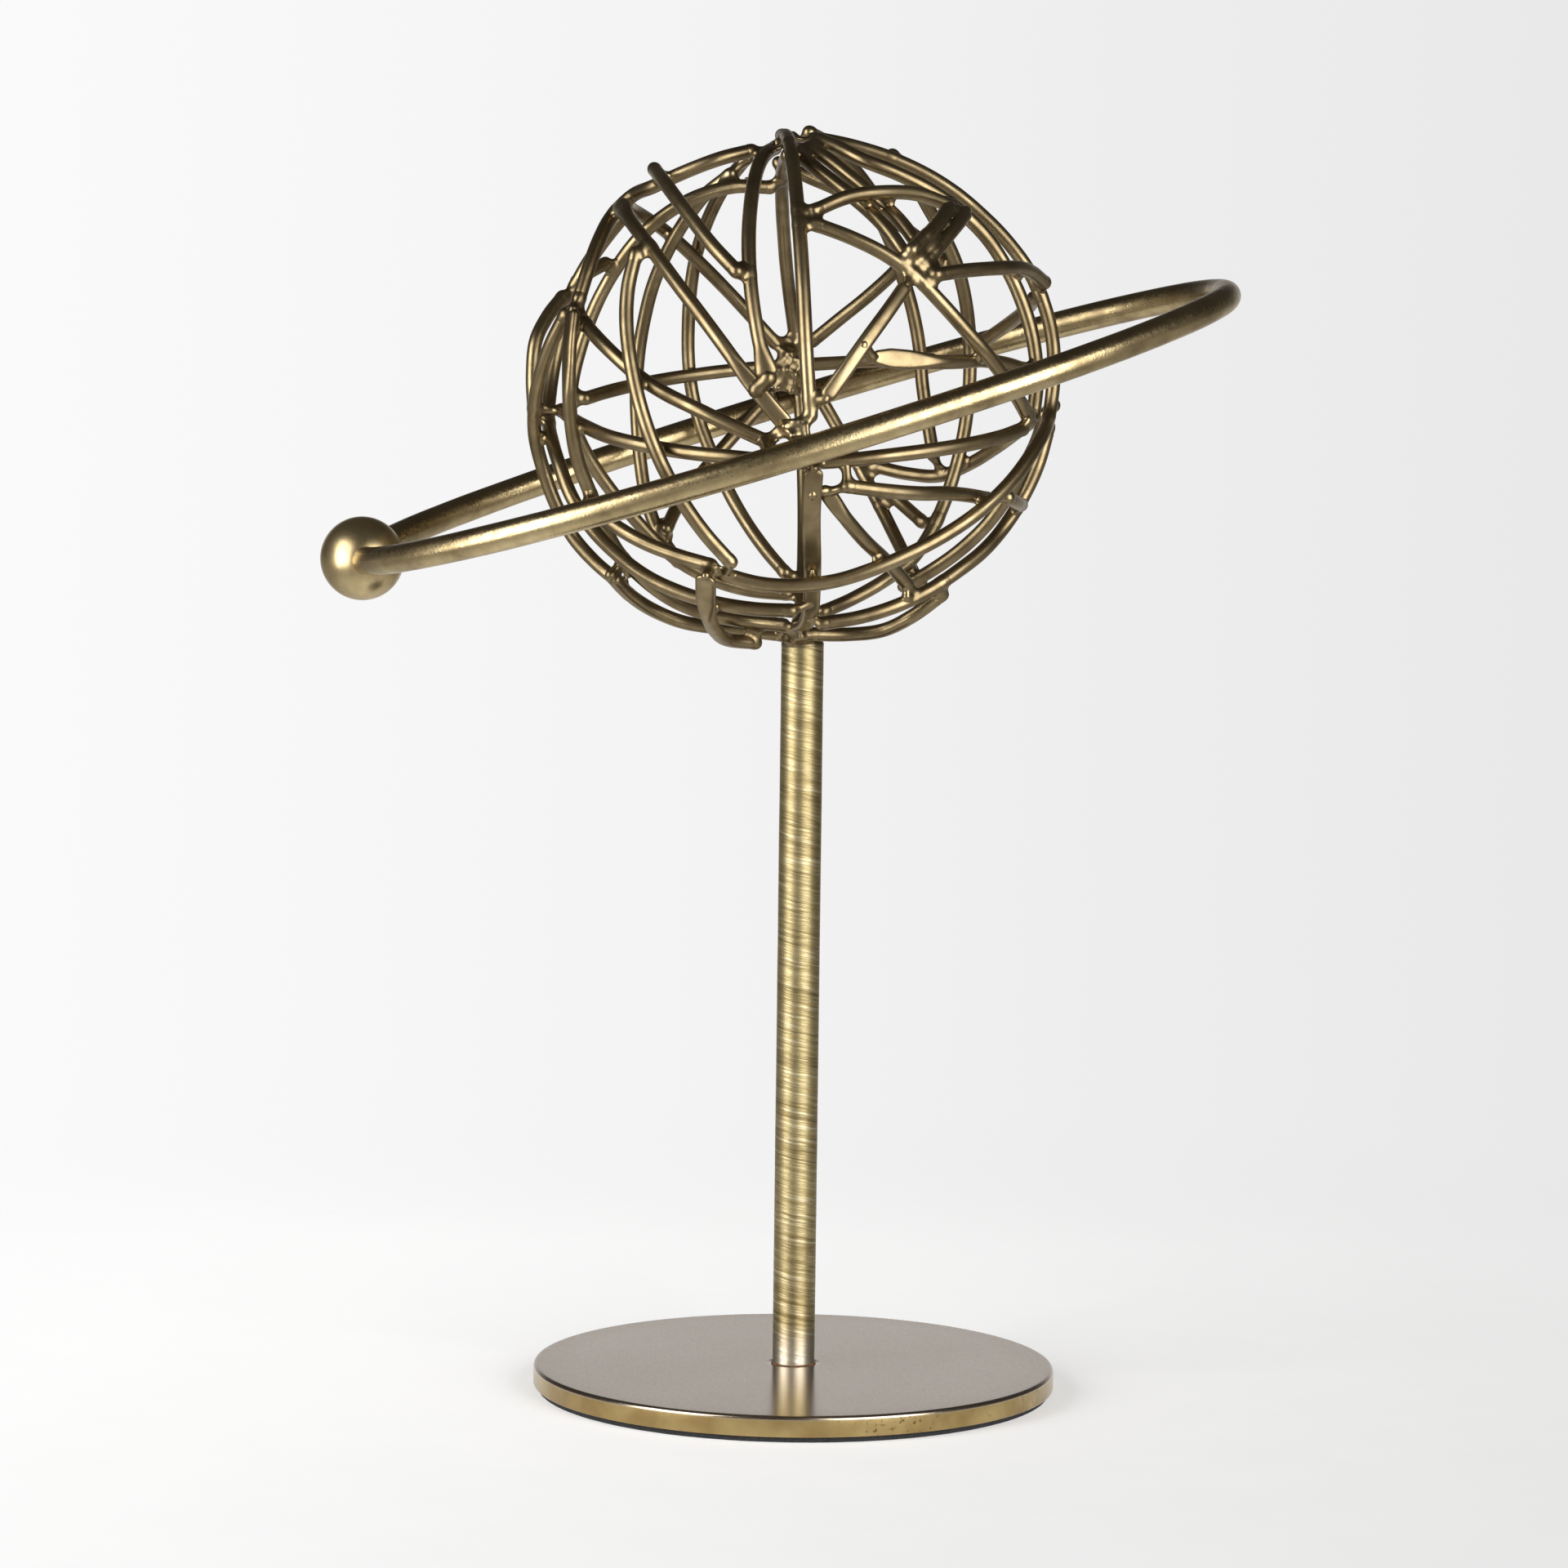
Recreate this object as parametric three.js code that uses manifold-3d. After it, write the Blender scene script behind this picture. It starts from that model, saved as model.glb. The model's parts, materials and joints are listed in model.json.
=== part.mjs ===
// Table-top armillary ornament: a ball-shaped cage of bent wires inside one oval ring, on a
// post and a round base. Millimetres, +Z up, origin at the middle of the pad's underside.
// +X is the side where the ring rises, -Y is the front.
import * as THREE from 'three';
import { mergeVertices } from 'three/addons/utils/BufferGeometryUtils.js';
import Module from 'manifold-3d';

const wasm = await Module();
wasm.setup();

// ---------------------------------------------------------------- driving dimensions
const GAP = 0.3; // clearance between neighbouring pieces

const PAD_DIAMETER = 118;
const PAD_THICKNESS = 1.3;

const BASE_DIAMETER = 120;
const BASE_THICKNESS = 4.7;
const BASE_EDGE_ROUND = 0.8;
const BASE_TOP = PAD_THICKNESS + BASE_THICKNESS;

const SCREW_DIAMETER = 5;
const SCREW_HEAD_DIAMETER = 9.6;
const SCREW_HEAD_HEIGHT = 2.6;
const SCREW_RECESS = 0.4; // how far the head sits above the plate's underside
const SCREW_REACH = 14; // how far the screw goes up into the post
const SOCKET_DEPTH = 1.6; // hexagon socket in the head
const SOCKET_RADIUS = 1.7;

const POST_DIAMETER = 9.7;
const POST_TOP = 172.6;
const POST_CHAMFER = 0.5;

const CAGE_CENTRE = new THREE.Vector3(-2, 0, 230);
const CAGE_RADIUS = 57.5; // to the middle of the wires
const CAGE_FOOT_RISE = 2.3; // how much the ball is flattened where it stands on the post
const CAGE_FOOT_LATITUDES = [58, 80]; // the flattening starts and is full at these latitudes south
const WIRE_DIAMETER = 3.2;
const WIRE_SIDES = 8;
const WIRE_STEP = 8.5; // length of one straight stretch of a bent wire
const WIRE_CLEARANCE_SLACK = 0.02; // how much of GAP may be missing where two wires cross

const RING_ROD = 6.4;
const RING_SIDES = 10;
const RING_STEPS = 52;
const RING_CENTRE = new THREE.Vector3(-2.4, 0, 222);
const RING_HALF_LENGTH = 102.8;
const RING_HALF_WIDTH = 64.2;
const RING_RISE = 17.7; // degrees, +X end up
const RING_TURN = 4; // degrees about Z
const RING_LEAN = 3.9; // degrees, back higher than front
const RING_JOINT = 0.6; // slit between the rod's two ends, inside the ball

const BALL_DIAMETER = 19;

const WELD_CLEARANCE = 1.5 * GAP; // between a lump of weld and the wires running through it

// ---------------------------------------------------------------- materials
const brass = { color: 0x8f7a4a, roughness: 0.3, metalness: 1 };
const darkBrass = { color: 0x6e5c3a, roughness: 0.35, metalness: 1 };
const steel = { color: 0x9a9a98, roughness: 0.4, metalness: 1 };
const foam = { color: 0x17161a, roughness: 0.95, metalness: 0 };

// ---------------------------------------------------------------- the cage's wires
// Each wire is bent over the cage's ball through a few places: [longitude, latitude, lift].
// Longitude 0 is the front, 90 the right, latitude 90 the top, in degrees. Lift is in
// millimetres outwards from the ball, 0 where it is left out.
const CAGE_WIRES = {
  front_meridian: [[-50, 84, -1.5], [-12, 75, -1], [0, 36], [2, 6], [3, -6]],
  front_top_left_bar: [[-30, 79, -1.5], [-18, 58], [-13, 30], [-10, 14], [-7, 2]],
  front_left_spike: [[-58, 52, 4], [-31, 39, 3], [-20, 30, 2.5], [-14, 25, 2]],
  front_left_diagonal: [[-70, 43, 2], [-45, 33, 1], [-22, 15], [-8, -1], [-2, -8]],
  front_left_bow: [[-43, 31, 1], [-42, 20], [-37, 2], [-32, -14], [-27, -26], [-17, -39, 2]],
  left_long_bow: [[-60, 16, 2], [-58, 4, 2], [-61, -10], [-65, -26], [-72, -45], [-64, -62], [-35, -73],
    [-14, -78]],
  left_hub_bow: [[-64, 17], [-50, 10], [-38, 2, -3], [-23, -4], [-7, -11]],
  front_lower_belt: [[-77, -6], [-55, -11], [-38, -14, -2], [-14, -16, -2], [0, -17, -3], [23, -14],
    [61, -8]],
  left_shoulder_bow: [[-31, 69, -1], [-38, 63], [-50, 57], [-62, 51], [-78, 46], [-72, 38], [-66, 30],
    [-63, 19]],
  back_left_high_bow: [[-165, 60], [-149, 60], [-136, 56], [-125, 44], [-121, 27], [-118, 8], [-115, -5]],
  back_left_bow: [[-146, 60], [-140, 50], [-138, 35], [-139, 15], [-140, -10], [-140, -30], [-143, -42]],
  back_left_long_bow: [[-153, 64], [-152, 40], [-153, 15], [-155, -5], [-161, -25], [-176, -50]],
  back_meridian: [[-160, 82, -2], [-172, 60], [-177, 30], [180, 9], [178, -20], [177, -45], [176, -79]],
  back_left_hub_brace: [[-93, 46, -2], [-114, 44], [-143, 36], [-159, 26], [-175, 11]],
  back_right_hub_brace: [[149, 32], [160, 24], [177, 11]],
  back_belt: [[-116, -2], [-140, 2], [-171, 6], [175, 7], [148, 8]],
  back_right_high_bow: [[-171, 62], [173, 56], [153, 46], [150, 30], [148, 12], [147, -2], [143, -15]],
  right_rim_bow: [[60, 86, -0.5], [74, 78, -1], [82, 66, -1], [86, 45], [86, 24, 2], [87, 10, 1.5], [87, -3],
    [73, -11], [50, -28], [30, -39], [10, -46], [-10, -47], [-23, -44]],
  right_shoulder_bow: [[12, 78], [30, 63], [53, 51], [66, 38], [70, 20], [70, 5], [68, -5]],
  top_right_brace_inner: [[0, 72, -1], [10, 61, -1], [19, 53, -2], [25, 45, -2], [29, 31]],
  top_right_brace_outer: [[6, 74, -1], [17, 63, -1], [26, 56, -3], [31, 48, -3], [33, 34]],
  back_top_right_brace: [[165, 84, 1], [153, 60], [149, 45], [135, 30]],
  front_top_right_arch: [[4, 42], [13, 46], [25, 48], [38, 49], [56, 45]],
  front_right_diagonal: [[4, 38], [25, 28], [39, 14], [56, -1], [65, -7]],
  right_lap_pin_low: [[53, 41, 3], [40, 34, 2], [31, 28, 1]],
  right_lap_pin_high: [[48, 42, 2], [36, 35, 2], [28, 30, 2]],
  right_upper_arch: [[33, 25, 1], [53, 27, 1], [73, 27, 1], [84, 24, 2]],
  front_right_strut: [[28, 24], [15, 9], [7, -2]],
  front_right_belt: [[16, 8], [35, 7], [49, 8, -3], [67, 6, -2]],
  lower_right_bar: [[12, -21, 1], [31, -23], [45, -24, -2], [61, -26, -3]],
  back_lower_right_bow: [[161, -18], [143, -20], [128, -14], [112, -7], [92, -3]],
  front_lower_strip: [[5, -17, 1], [5, -30], [7, -47, -3], [9, -66], [4, -77]],
  front_lower_right_brace: [[6, -24], [11, -30], [16, -35], [24, -41, -1], [37, -49, -3], [47, -53, -1]],
  lower_left_bow: [[-62, -27, 1], [-37, -40], [-25, -42, 1]],
  left_back_rim_bow: [[-90, 45, -1], [-97, 33, -1], [-98, 25], [-101, 10], [-94, -4], [-76, -14], [-68, -25],
    [-56, -43], [-39, -52], [-20, -56], [0, -57]],
  bottom_left_bow: [[-70, -43, 3], [-80, -54, 2], [-84, -65, 1], [-75, -76], [-25, -84]],
  bottom_left_hook: [[-25, -42, 4], [-30, -52, 4.5], [-37, -62, 4], [-46, -72, 4], [-40, -77, 3.5]],
  lower_right_rim_bow: [[87, -7], [83, -30, -1.5], [66, -44, -1.5], [42, -56, -0.5], [13, -63]],
  lower_right_inner_bow: [[92, -5], [104, -17], [111, -31], [124, -47], [131, -53]],
  bottom_right_bow: [[17, -77, 1], [45, -75, 1.5], [60, -66, 2], [60, -58, 1.5], [64, -51, 1]],
  left_outer_bulge: [[-97, 21], [-87, 10, 2.4], [-87, -5, 2]],
  left_rim_bow: [[-62, 16], [-70, 5], [-78, -6], [-84, -18], [-85, -36, 1.5], [-77, -50, 1]],
  left_back_link: [[-103, 25], [-116, 30]],
  back_right_long_bow: [[100, 68], [128, 50], [131, 30], [134, 2], [135, -20], [138, -46], [149, -56],
    [161, -66]],
  back_lower_left_bow: [[-114, -9], [-127, -28], [-142, -47], [-164, -55], [-177, -56]],
  back_lower_left_brace: [[-174, -1], [-162, -14], [-147, -28], [-138, -36]],
  back_lower_right_brace: [[175, 0], [163, -19], [145, -40], [126, -51]],
  right_back_link: [[92, 22], [119, 16], [130, 12]],
  back_lower_right_link: [[154, -25], [142, -32]],
  right_lower_link: [[64, -24], [80, -26]],
};

// ---------------------------------------------------------------- small helpers
const radians = THREE.MathUtils.degToRad;

function outward(longitude, latitude) {
  const across = Math.cos(radians(latitude));
  return new THREE.Vector3(
    across * Math.sin(radians(longitude)),
    -across * Math.cos(radians(longitude)),
    Math.sin(radians(latitude)),
  );
}

/** A path made of straight stretches, with its corners exactly at the given points. */
class StretchedPath extends THREE.Curve {
  constructor(points) {
    super();
    this.points = points;
  }

  getPoint(t, target = new THREE.Vector3()) {
    const last = this.points.length - 1;
    const index = Math.min(Math.floor(t * last), last - 1);
    return target.lerpVectors(this.points[index], this.points[index + 1], t * last - index);
  }

  getPointAt(u, target) {
    return this.getPoint(u, target);
  }

  getTangentAt(u, target) {
    return this.getTangent(u, target);
  }
}

function roundShape(radius, sides) {
  const shape = new THREE.Shape();
  for (let i = 0; i < sides; i += 1) {
    const angle = (2 * Math.PI * (i + 0.5)) / sides;
    const corner = [radius * Math.cos(angle), radius * Math.sin(angle)];
    if (i === 0) shape.moveTo(...corner);
    else shape.lineTo(...corner);
  }
  shape.closePath();
  return shape;
}

function rodAlong(points, radius, sides) {
  return new THREE.ExtrudeGeometry(roundShape(radius, sides), {
    steps: points.length - 1,
    extrudePath: new StretchedPath(points),
    bevelEnabled: false,
  });
}

/** Turns a profile of [radius, height] corners about Z. */
function turned(profile, segments) {
  const outline = profile.map(([radius, height]) => new THREE.Vector2(radius, height));
  const geometry = new THREE.LatheGeometry(outline, segments);
  geometry.rotateX(Math.PI / 2);
  return geometry;
}

function solidFrom(geometry) {
  const bare = geometry.clone();
  bare.deleteAttribute('normal');
  bare.deleteAttribute('uv');
  const merged = mergeVertices(bare, 1e-4);
  return new wasm.Manifold(new wasm.Mesh({
    numProp: 3,
    vertProperties: new Float32Array(merged.attributes.position.array),
    triVerts: new Uint32Array(merged.index.array),
  }));
}

function geometryFrom(solid) {
  const mesh = solid.getMesh();
  const geometry = new THREE.BufferGeometry();
  geometry.setAttribute('position', new THREE.BufferAttribute(new Float32Array(mesh.vertProperties), 3));
  geometry.setIndex(new THREE.BufferAttribute(new Uint32Array(mesh.triVerts), 1));
  geometry.computeVertexNormals();
  return geometry;
}

const object = new THREE.Group();

function addPiece(name, geometry, finish) {
  const mesh = new THREE.Mesh(geometry, new THREE.MeshStandardMaterial(finish));
  mesh.name = name;
  object.add(mesh);
  return mesh;
}

// ---------------------------------------------------------------- base, screw and post
function basePad() {
  const radius = PAD_DIAMETER / 2;
  return turned([[0, 0], [radius, 0], [radius, PAD_THICKNESS], [0, PAD_THICKNESS]], 48);
}

function baseDisc() {
  const radius = BASE_DIAMETER / 2;
  const hole = SCREW_DIAMETER / 2 + GAP;
  const sink = SCREW_HEAD_DIAMETER / 2 + GAP;
  const sinkTop = PAD_THICKNESS + SCREW_RECESS + SCREW_HEAD_HEIGHT + GAP;
  const roundBulge = BASE_EDGE_ROUND * (1 - Math.SQRT1_2); // middle of the rounded edge
  return turned([
    [sink, PAD_THICKNESS],
    [radius, PAD_THICKNESS],
    [radius, BASE_TOP - BASE_EDGE_ROUND],
    [radius - roundBulge, BASE_TOP - roundBulge],
    [radius - BASE_EDGE_ROUND, BASE_TOP],
    [hole, BASE_TOP],
    [hole, sinkTop],
    [sink, PAD_THICKNESS + SCREW_RECESS + GAP],
    [sink, PAD_THICKNESS],
  ], 72);
}

function baseScrew() {
  const bottom = PAD_THICKNESS + SCREW_RECESS;
  const shank = SCREW_DIAMETER / 2;
  const tip = BASE_TOP + SCREW_REACH;
  const socketSides = 6;
  const tipChamfer = 1;
  const body = solidFrom(turned([
    [0, bottom],
    [SCREW_HEAD_DIAMETER / 2, bottom],
    [shank, bottom + SCREW_HEAD_HEIGHT],
    [shank, tip - tipChamfer],
    [shank - tipChamfer, tip],
    [0, tip],
  ], 16));
  const socket = new THREE.CylinderGeometry(SOCKET_RADIUS, SOCKET_RADIUS, 2 * SOCKET_DEPTH, socketSides);
  socket.rotateX(Math.PI / 2);
  socket.translate(0, 0, bottom);
  return geometryFrom(body.subtract(solidFrom(socket)));
}

function post() {
  const radius = POST_DIAMETER / 2;
  const bore = SCREW_DIAMETER / 2 + GAP;
  const boreTop = BASE_TOP + SCREW_REACH + 1; // the bore ends in a drill cone above this
  return turned([
    [bore, BASE_TOP],
    [radius, BASE_TOP],
    [radius, POST_TOP - POST_CHAMFER],
    [radius - POST_CHAMFER, POST_TOP],
    [0, POST_TOP],
    [0, boreTop + bore],
    [bore, boreTop],
    [bore, BASE_TOP],
  ], 24);
}

// ---------------------------------------------------------------- ring and its ball
const ringTurn = new THREE.Matrix4()
  .makeRotationZ(radians(RING_TURN))
  .multiply(new THREE.Matrix4().makeRotationY(-radians(RING_RISE)))
  .multiply(new THREE.Matrix4().makeRotationX(radians(RING_LEAN)));

function ringPoint(angle) {
  const point = new THREE.Vector3(RING_HALF_LENGTH * Math.cos(angle), RING_HALF_WIDTH * Math.sin(angle), 0);
  return point.applyMatrix4(ringTurn).add(RING_CENTRE);
}

/** The rod's middle line, from one side of the joint in the ball round to the other. */
function ringLine(slit) {
  const slitAngle = slit / 2 / RING_HALF_WIDTH;
  const points = [];
  for (let i = 0; i <= RING_STEPS; i += 1) {
    const angle = Math.PI + slitAngle + ((2 * Math.PI - 2 * slitAngle) * i) / RING_STEPS;
    points.push(ringPoint(angle));
  }
  return points;
}

const ringPoints = ringLine(RING_JOINT);

function ringBall() {
  const ball = new THREE.SphereGeometry(BALL_DIAMETER / 2, 20, 14);
  const middle = ringPoint(Math.PI);
  ball.translate(middle.x, middle.y, middle.z);
  const stepsEachWay = 5;
  const tunnelLine = [];
  for (let i = -stepsEachWay; i <= stepsEachWay; i += 1) {
    tunnelLine.push(ringPoint(Math.PI + (2 * Math.PI * i) / RING_STEPS));
  }
  const tunnel = rodAlong(tunnelLine, RING_ROD / 2 + 2 * GAP, RING_SIDES);
  return geometryFrom(solidFrom(ball).subtract(solidFrom(tunnel)));
}

// ---------------------------------------------------------------- bending the wires
/** The middle line of one wire, evenly stepped along the smooth curve through its places. */
function wireLine(places) {
  const towards = places.map(([longitude, latitude]) => outward(longitude, latitude));
  const directions = new THREE.CatmullRomCurve3(towards, false, 'centripetal');
  const lifts = places.map((place) => place[2] ?? 0);
  const lastPlace = places.length - 1;
  const pointsPerPlace = 40;
  const fine = [];
  for (let i = 0; i <= pointsPerPlace * lastPlace; i += 1) {
    const along = i / pointsPerPlace;
    const index = Math.min(Math.floor(along), lastPlace - 1);
    const lift = THREE.MathUtils.lerp(lifts[index], lifts[index + 1], along - index);
    const direction = directions.getPoint(along / lastPlace).normalize();
    const south = -THREE.MathUtils.radToDeg(Math.asin(direction.z));
    const rise = CAGE_FOOT_RISE * THREE.MathUtils.smoothstep(south, ...CAGE_FOOT_LATITUDES);
    fine.push(direction.multiplyScalar(CAGE_RADIUS + lift - rise).add(CAGE_CENTRE));
  }
  const line = new THREE.CatmullRomCurve3(fine);
  line.arcLengthDivisions = pointsPerPlace * lastPlace;
  return line.getSpacedPoints(Math.max(2, Math.round(line.getLength() / WIRE_STEP)));
}

/** Nearest approach of two straight stretches: places s and t along them, and the way between. */
function nearest(a, b, c, d) {
  const first = b.clone().sub(a);
  const second = d.clone().sub(c);
  const between = a.clone().sub(c);
  const lengthA = first.lengthSq();
  const lengthB = second.lengthSq();
  const mixed = first.dot(second);
  const alongA = first.dot(between);
  const alongB = second.dot(between);
  const spread = lengthA * lengthB - mixed * mixed;
  const parallel = spread < 1e-9;
  let s = parallel ? 0.5 : THREE.MathUtils.clamp((mixed * alongB - alongA * lengthB) / spread, 0, 1);
  let t = (mixed * s + alongB) / lengthB;
  if (t < 0 || t > 1) {
    t = THREE.MathUtils.clamp(t, 0, 1);
    s = THREE.MathUtils.clamp((mixed * t - alongA) / lengthA, 0, 1);
  }
  const way = between.addScaledVector(first, s).addScaledVector(second, -t);
  return { s, t, way };
}

/** Every pair of stretches, of different rods, that come near each other. */
function nearPairs(rods, reach) {
  const pairs = [];
  const middle = new THREE.Vector3();
  const otherMiddle = new THREE.Vector3();
  for (let i = 0; i < rods.length; i += 1) {
    for (let j = i + 1; j < rods.length; j += 1) {
      if (rods[i].fixed && rods[j].fixed) continue;
      for (let k = 0; k + 1 < rods[i].points.length; k += 1) {
        middle.addVectors(rods[i].points[k], rods[i].points[k + 1]).multiplyScalar(0.5);
        for (let m = 0; m + 1 < rods[j].points.length; m += 1) {
          otherMiddle.addVectors(rods[j].points[m], rods[j].points[m + 1]).multiplyScalar(0.5);
          if (middle.distanceToSquared(otherMiddle) < reach * reach) pairs.push([rods[i], k, rods[j], m]);
        }
      }
    }
  }
  return pairs;
}

/** Moves two stretches half of the missing clearance apart, and tells how much was missing. */
function pushApart([rod, k, other, m]) {
  const { s, t, way } = nearest(rod.points[k], rod.points[k + 1], other.points[m], other.points[m + 1]);
  const wanted = rod.radius + other.radius + GAP;
  const distance = way.length();
  if (distance >= wanted) return 0;
  const direction = way.divideScalar(Math.max(distance, 1e-6));
  const share = rod.fixed || other.fixed ? 0.5 : 0.25;
  const push = (wanted - distance) * share;
  if (!rod.fixed) {
    rod.points[k].addScaledVector(direction, push * (1 - s * 0.5));
    rod.points[k + 1].addScaledVector(direction, push * (0.5 + s * 0.5));
  }
  if (!other.fixed) {
    other.points[m].addScaledVector(direction, -push * (1 - t * 0.5));
    other.points[m + 1].addScaledVector(direction, -push * (0.5 + t * 0.5));
  }
  return wanted - distance;
}

/** Spreads each bend over its neighbours, so that a wire bows instead of kinking. */
function easeBends(rod) {
  const kept = 0.6; // share of a point's own shift that stays
  const fading = 0.995; // shifts that are not needed die away slowly
  const moved = rod.points.map((point, i) => point.clone().sub(rod.start[i]));
  for (let i = 0; i < moved.length; i += 1) {
    const before = moved[Math.max(i - 1, 0)];
    const after = moved[Math.min(i + 1, moved.length - 1)];
    const eased = before.clone().add(after).multiplyScalar(0.5).lerp(moved[i], kept);
    rod.points[i].addVectors(rod.start[i], eased.multiplyScalar(fading));
  }
}

/** Keeps a wire above the post's flat top. */
function stayOverPost(rod) {
  const reach = POST_DIAMETER / 2 + rod.radius + WIRE_STEP;
  const lowest = POST_TOP + rod.radius + GAP;
  rod.points.forEach((point) => {
    if (Math.hypot(point.x, point.y) < reach) point.z = Math.max(point.z, lowest);
  });
}

/** Lays the wires over and beside each other until every pair clears by GAP. */
function layWires(wires, obstacles) {
  const rods = [...wires, ...obstacles];
  const easedRounds = 260;
  const allRounds = 900;
  const roundsPerSearch = 20;
  const searchReach = 2.2 * WIRE_STEP;
  let pairs = [];
  for (let round = 0; round < allRounds; round += 1) {
    if (round % roundsPerSearch === 0) pairs = nearPairs(rods, searchReach);
    let missing = 0;
    for (const pair of pairs) missing = Math.max(missing, pushApart(pair));
    wires.forEach(stayOverPost);
    if (round < easedRounds) wires.forEach(easeBends);
    else if (missing < WIRE_CLEARANCE_SLACK) return;
  }
  throw new Error('two wires still run through each other');
}

const wires = Object.entries(CAGE_WIRES).map(([name, places]) => {
  const points = wireLine(places);
  return { name, points, start: points.map((point) => point.clone()), radius: WIRE_DIAMETER / 2 };
});
const ringRod = { name: 'ring', points: ringPoints, radius: RING_ROD / 2, fixed: true };
layWires(wires, [ringRod]);

// ---------------------------------------------------------------- weld lumps
/** A lump of weld where wires meet: a rounded blob that leaves room for each rod in it. */
function weldLump(longitude, latitude, lift, size) {
  const middle = outward(longitude, latitude).setLength(CAGE_RADIUS + lift).add(CAGE_CENTRE);
  const blob = new THREE.SphereGeometry(1, 14, 10);
  blob.scale(size[0] / 2, size[1] / 2, size[2] / 2);
  blob.translate(middle.x, middle.y, middle.z);
  let lump = solidFrom(blob);
  for (const rod of [...wires, ringRod]) {
    lump = lump.subtract(solidFrom(rodAlong(rod.points, rod.radius + WELD_CLEARANCE, WIRE_SIDES)));
  }
  const roomRadius = 2 * POST_DIAMETER; // wider than any lump, so nothing hangs down beside the post
  const room = new THREE.CylinderGeometry(roomRadius, roomRadius, POST_TOP + GAP, 24);
  room.rotateX(Math.PI / 2);
  room.translate(0, 0, (POST_TOP + GAP) / 2);
  const bodies = lump.subtract(solidFrom(room)).decompose();
  bodies.sort((one, other) => other.volume() - one.volume());
  return geometryFrom(bodies[0]);
}

// ---------------------------------------------------------------- assembly
addPiece('base_pad', basePad(), foam);
addPiece('base_disc', baseDisc(), brass);
addPiece('base_screw', baseScrew(), steel);
addPiece('post', post(), brass);
addPiece('ring', rodAlong(ringPoints, RING_ROD / 2, RING_SIDES), brass);
addPiece('ring_ball', ringBall(), brass);
for (const wire of wires) addPiece(wire.name, rodAlong(wire.points, wire.radius, WIRE_SIDES), brass);
addPiece('top_weld', weldLump(-10, 86, -0.5, [15, 12, 5]), darkBrass);
addPiece('front_hub_weld', weldLump(0, -9, 1, [13, 8, 10]), darkBrass);
addPiece('back_hub_weld', weldLump(179, 4, 0, [12, 9, 16]), darkBrass);
addPiece('bottom_weld', weldLump(10, -78, 1, [13, 12, 7]), darkBrass);

export default object;
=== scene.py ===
"""Table-top armillary ornament.

A cage of welded brass wires and one sloping ring, on a post and a round base.
Metres, +Z up, origin at the middle of the pad's underside, -Y is the front.
"""

import json
import math

import bmesh
import bpy
import numpy as np
from mathutils import Matrix, Vector


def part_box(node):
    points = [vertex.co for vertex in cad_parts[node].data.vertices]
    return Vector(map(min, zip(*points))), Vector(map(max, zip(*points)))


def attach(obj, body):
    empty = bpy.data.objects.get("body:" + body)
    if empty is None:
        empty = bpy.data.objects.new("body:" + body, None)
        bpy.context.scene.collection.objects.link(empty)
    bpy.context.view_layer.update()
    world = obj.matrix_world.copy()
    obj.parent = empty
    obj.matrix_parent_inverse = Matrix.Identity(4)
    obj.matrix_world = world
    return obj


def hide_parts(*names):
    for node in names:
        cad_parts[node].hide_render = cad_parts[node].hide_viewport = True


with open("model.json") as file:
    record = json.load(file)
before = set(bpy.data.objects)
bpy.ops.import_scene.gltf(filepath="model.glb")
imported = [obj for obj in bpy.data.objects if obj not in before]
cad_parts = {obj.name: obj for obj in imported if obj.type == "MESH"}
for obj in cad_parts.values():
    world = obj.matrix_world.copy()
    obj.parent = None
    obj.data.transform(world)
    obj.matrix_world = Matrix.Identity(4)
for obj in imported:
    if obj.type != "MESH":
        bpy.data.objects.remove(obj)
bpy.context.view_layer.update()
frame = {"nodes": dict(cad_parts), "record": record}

# ---------------------------------------------------------------- sizes
# A place or size that a CAD node's box shows is read from it. The rest repeat the CAD model's own.
MM = 0.001


def middle(node):
    """The middle of a CAD node's box."""
    low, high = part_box(node)
    return np.array((low + high) / 2)


def extent(node):
    """The size of a CAD node's box along X, Y and Z."""
    low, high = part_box(node)
    return np.array(high - low)


CAGE_WIRES = [
    entry["node"] for entry in frame["record"]["subparts"] if entry["material_slot"] == "wire_brass"
]
WELD_NODES = ["top_weld", "front_hub_weld", "back_hub_weld", "bottom_weld"]
WIRE_RADIUS = 1.6 * MM
WIRE_CORNERS = 8  # corners round a wire in the CAD model
RING_RADIUS = 3.2 * MM
RING_CORNERS = 10  # and round the ring
POST_RADIUS = extent("post")[0] / 2
POST_BOTTOM, POST_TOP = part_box("post")[0].z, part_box("post")[1].z
BASE_RADIUS = extent("base_disc")[0] / 2
BASE_BOTTOM, BASE_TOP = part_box("base_disc")[0].z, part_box("base_disc")[1].z
PAD_RADIUS = extent("base_pad")[0] / 2
PAD_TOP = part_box("base_pad")[1].z
BALL_CENTRE = middle("ring_ball")
BALL_RADIUS = extent("ring_ball")[0] / 2
CAGE_CENTRE = np.array([-2, 0, 230]) * MM
LINE_STEP = 0.8 * MM  # between the points of a wire's middle line
ROUND = 2.0  # squareness of a round section; a higher one is squarer


# ---------------------------------------------------------------- small maths
def unit(vectors):
    """Each vector at length 1."""
    return vectors / np.linalg.norm(vectors, axis=-1, keepdims=True)


def from_axis(points):
    """The level direction from the Z axis to each point."""
    return unit(points * [1, 1, 0] + [1e-12, 0, 0])


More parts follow.
